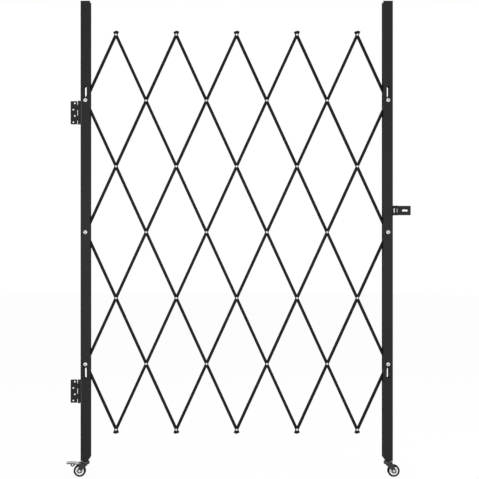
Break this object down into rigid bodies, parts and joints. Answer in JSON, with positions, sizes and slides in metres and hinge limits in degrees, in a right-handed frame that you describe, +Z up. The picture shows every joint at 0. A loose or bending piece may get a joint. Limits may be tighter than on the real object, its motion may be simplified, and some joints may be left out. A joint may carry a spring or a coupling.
{
  "type": "folding security gate",
  "caption": "Scissor gate of slim riveted channel bars between two channel posts, with hinges, a hasp and swivel casters, one with a foot brake.",
  "frame": {"origin": "middle of the footprint, on the floor under the gate", "axes": "+Z up along the posts, +X from the hinge post to the hasp post, the front faces -Y"},
  "size_m": [1.423, 0.0498, 1.968],
  "materials": {
    "black_coat": "satin black powder coat",
    "bar_coat": "satin black powder coat",
    "bright_zinc": "bright zinc plate",
    "dark_zinc": "dull dark zinc plate",
    "fork_coat": "dark grey coat over pressed steel",
    "hub_plastic": "moulded white nylon",
    "tyre_rubber": "matt black rubber",
    "bush_bronze": "sintered bronze"
  },
  "bodies": {
    "wall_leaves": {"upper_wall_leaf": "black_coat", "lower_wall_leaf": "black_coat", "upper_hinge_pin": "dark_zinc", "lower_hinge_pin": "dark_zinc"},
    "left_post": {"left_post": "black_coat", "left_post_foot": "dark_zinc", "upper_post_leaf": "black_coat", "lower_post_leaf": "black_coat", "left_middle_pin": "bright_zinc", "left_caster_stem": "bright_zinc", "left_swivel_cup": "dark_zinc", "left_stem_nut": "bright_zinc"},
    "rising_bar_1": {"rising_bar_1": "bar_coat"},
    "rising_bar_2": {"rising_bar_2": "bar_coat"},
    "rising_bar_3": {"rising_bar_3": "bar_coat", "left_lower_slide_pin": "bright_zinc"},
    "rising_bar_4": {"rising_bar_4": "bar_coat"},
    "rising_bar_5": {"rising_bar_5": "bar_coat"},
    "rising_bar_6": {"rising_bar_6": "bar_coat", "right_upper_slide_pin": "bright_zinc"},
    "rising_bar_7": {"rising_bar_7": "bar_coat"},
    "rising_bar_8": {"rising_bar_8": "bar_coat"},
    "falling_bar_1": {"falling_bar_1": "bar_coat"},
    "falling_bar_2": {"falling_bar_2": "bar_coat"},
    "falling_bar_3": {"falling_bar_3": "bar_coat", "left_upper_slide_pin": "bright_zinc"},
    "falling_bar_4": {"falling_bar_4": "bar_coat"},
    "falling_bar_5": {"falling_bar_5": "bar_coat"},
    "falling_bar_6": {"falling_bar_6": "bar_coat", "right_lower_slide_pin": "bright_zinc"},
    "falling_bar_7": {"falling_bar_7": "bar_coat"},
    "falling_bar_8": {"falling_bar_8": "bar_coat"},
    "right_post": {"right_post": "black_coat", "right_post_foot": "dark_zinc", "right_middle_pin": "bright_zinc", "hasp_base": "black_coat", "hasp_pin": "dark_zinc", "right_caster_stem": "bright_zinc", "right_swivel_cup": "dark_zinc", "right_stem_nut": "bright_zinc"},
    "hasp_leaf": {"hasp_leaf": "black_coat"},
    "left_fork": {"left_caster_fork": "fork_coat", "left_axle_bolt": "bright_zinc", "left_axle_nut": "bright_zinc", "left_wheel_bush": "bush_bronze", "brake_pivot_pin": "dark_zinc"},
    "left_wheel": {"left_wheel_hub": "hub_plastic", "left_tyre": "tyre_rubber"},
    "brake_pedal": {"brake_pedal": "bright_zinc"},
    "right_fork": {"right_caster_fork": "fork_coat", "right_axle_bolt": "bright_zinc", "right_axle_nut": "bright_zinc", "right_wheel_bush": "bush_bronze"},
    "right_wheel": {"right_wheel_hub": "hub_plastic", "right_tyre": "tyre_rubber"}
  },
  "joints": [
    {"name": "gate_swing", "type": "hinge", "parent": "wall_leaves", "child": "left_post", "pos_m": [-0.6583, -0.0154, 1.506], "axis": [0, 0, -1], "range_deg": [0, 180]},
    {"name": "fold", "type": "hinge", "parent": "left_post", "child": "rising_bar_2", "pos_m": [-0.6315, 0.0036, 1.0125], "axis": [0, -1, 0], "range_deg": [0, 20.4]},
    {"name": "falling_bar_2_fold", "type": "hinge", "parent": "left_post", "child": "falling_bar_2", "pos_m": [-0.6315, 0.0036, 1.0125], "axis": [0, -1, 0], "range_deg": [-20.6, 0]},
    {"name": "falling_bar_3_fold", "type": "hinge", "parent": "rising_bar_2", "child": "falling_bar_3", "pos_m": [-0.5065, 0.0036, 1.28522], "axis": [0, -1, 0], "range_deg": [-41, 0]},
    {"name": "falling_bar_4_fold", "type": "hinge", "parent": "rising_bar_2", "child": "falling_bar_4", "pos_m": [-0.3815, 0.0036, 1.55794], "axis": [0, -1, 0], "range_deg": [-41, 0]},
    {"name": "falling_bar_5_fold", "type": "hinge", "parent": "rising_bar_2", "child": "falling_bar_5", "pos_m": [-0.2565, 0.0036, 1.83065], "axis": [0, -1, 0], "range_deg": [-41, 0]},
    {"name": "rising_bar_1_fold", "type": "hinge", "parent": "falling_bar_3", "child": "rising_bar_1", "pos_m": [-0.6315, 0.0036, 1.55794], "axis": [0, -1, 0], "range_deg": [0, 41]},
    {"name": "rising_bar_3_fold", "type": "hinge", "parent": "falling_bar_5", "child": "rising_bar_3", "pos_m": [-0.1315, 0.0036, 1.55794], "axis": [0, -1, 0], "range_deg": [0, 41]},
    {"name": "rising_bar_4_fold", "type": "hinge", "parent": "falling_bar_5", "child": "rising_bar_4", "pos_m": [-0.0065, 0.0036, 1.28522], "axis": [0, -1, 0], "range_deg": [0, 41]},
    {"name": "rising_bar_5_fold", "type": "hinge", "parent": "falling_bar_5", "child": "rising_bar_5", "pos_m": [0.1185, 0.0036, 1.0125], "axis": [0, -1, 0], "range_deg": [0, 41]},
    {"name": "rising_bar_6_fold", "type": "hinge", "parent": "falling_bar_5", "child": "rising_bar_6", "pos_m": [0.2435, 0.0036, 0.73978], "axis": [0, -1, 0], "range_deg": [0, 41]},
    {"name": "rising_bar_7_fold", "type": "hinge", "parent": "falling_bar_5", "child": "rising_bar_7", "pos_m": [0.3685, 0.0036, 0.46706], "axis": [0, -1, 0], "range_deg": [0, 41]},
    {"name": "rising_bar_8_fold", "type": "hinge", "parent": "falling_bar_5", "child": "rising_bar_8", "pos_m": [0.4935, 0.0036, 0.19435], "axis": [0, -1, 0], "range_deg": [0, 41]},
    {"name": "falling_bar_1_fold", "type": "hinge", "parent": "rising_bar_3", "child": "falling_bar_1", "pos_m": [-0.6315, 0.0036, 0.46706], "axis": [0, -1, 0], "range_deg": [-41, 0]},
    {"name": "falling_bar_6_fold", "type": "hinge", "parent": "rising_bar_6", "child": "falling_bar_6", "pos_m": [0.3685, 0.0036, 1.0125], "axis": [0, -1, 0], "range_deg": [-41, 0]},
    {"name": "falling_bar_7_fold", "type": "hinge", "parent": "rising_bar_6", "child": "falling_bar_7", "pos_m": [0.4935, 0.0036, 1.28522], "axis": [0, -1, 0], "range_deg": [-41, 0]},
    {"name": "falling_bar_8_fold", "type": "hinge", "parent": "rising_bar_6", "child": "falling_bar_8", "pos_m": [0.6185, 0.0036, 1.55794], "axis": [0, -1, 0], "range_deg": [-41, 0]},
    {"name": "right_post_fold", "type": "hinge", "parent": "falling_bar_7", "child": "right_post", "pos_m": [0.6185, 0.0036, 1.0125], "axis": [0, -1, 0], "range_deg": [0, 20.6]},
    {"name": "hasp_swing", "type": "hinge", "parent": "right_post", "child": "hasp_leaf", "pos_m": [0.6525, -0.0184, 1.102], "axis": [0, 0, -1], "range_deg": [-90, 180]},
    {"name": "left_caster_swivel", "type": "hinge", "parent": "left_post", "child": "left_fork", "pos_m": [-0.6315, 0.0036, 0.055], "axis": [0, 0, 1], "continuous": true},
    {"name": "left_wheel_spin", "type": "hinge", "parent": "left_fork", "child": "left_wheel", "pos_m": [-0.6565, 0.0036, 0.025], "axis": [0, 1, 0], "continuous": true},
    {"name": "brake_pedal_press", "type": "hinge", "parent": "left_fork", "child": "brake_pedal", "pos_m": [-0.6555, 0.0036, 0.0545], "axis": [0, -1, 0], "range_deg": [0, 12]},
    {"name": "right_caster_swivel", "type": "hinge", "parent": "right_post", "child": "right_fork", "pos_m": [0.6185, 0.0036, 0.055], "axis": [0, 0, 1], "continuous": true},
    {"name": "right_wheel_spin", "type": "hinge", "parent": "right_fork", "child": "right_wheel", "pos_m": [0.6435, 0.0036, 0.025], "axis": [0, 1, 0], "continuous": true}
  ],
  "couplings": [
    {"joint": "falling_bar_2_fold", "follows": "fold", "ratio": -1},
    {"joint": "falling_bar_3_fold", "follows": "fold", "ratio": -2},
    {"joint": "falling_bar_4_fold", "follows": "fold", "ratio": -2},
    {"joint": "falling_bar_5_fold", "follows": "fold", "ratio": -2},
    {"joint": "rising_bar_1_fold", "follows": "fold", "ratio": 2},
    {"joint": "rising_bar_3_fold", "follows": "fold", "ratio": 2},
    {"joint": "rising_bar_4_fold", "follows": "fold", "ratio": 2},
    {"joint": "rising_bar_5_fold", "follows": "fold", "ratio": 2},
    {"joint": "rising_bar_6_fold", "follows": "fold", "ratio": 2},
    {"joint": "rising_bar_7_fold", "follows": "fold", "ratio": 2},
    {"joint": "rising_bar_8_fold", "follows": "fold", "ratio": 2},
    {"joint": "falling_bar_1_fold", "follows": "fold", "ratio": -2},
    {"joint": "falling_bar_6_fold", "follows": "fold", "ratio": -2},
    {"joint": "falling_bar_7_fold", "follows": "fold", "ratio": -2},
    {"joint": "falling_bar_8_fold", "follows": "fold", "ratio": -2},
    {"joint": "right_post_fold", "follows": "fold", "ratio": 1}
  ]
}
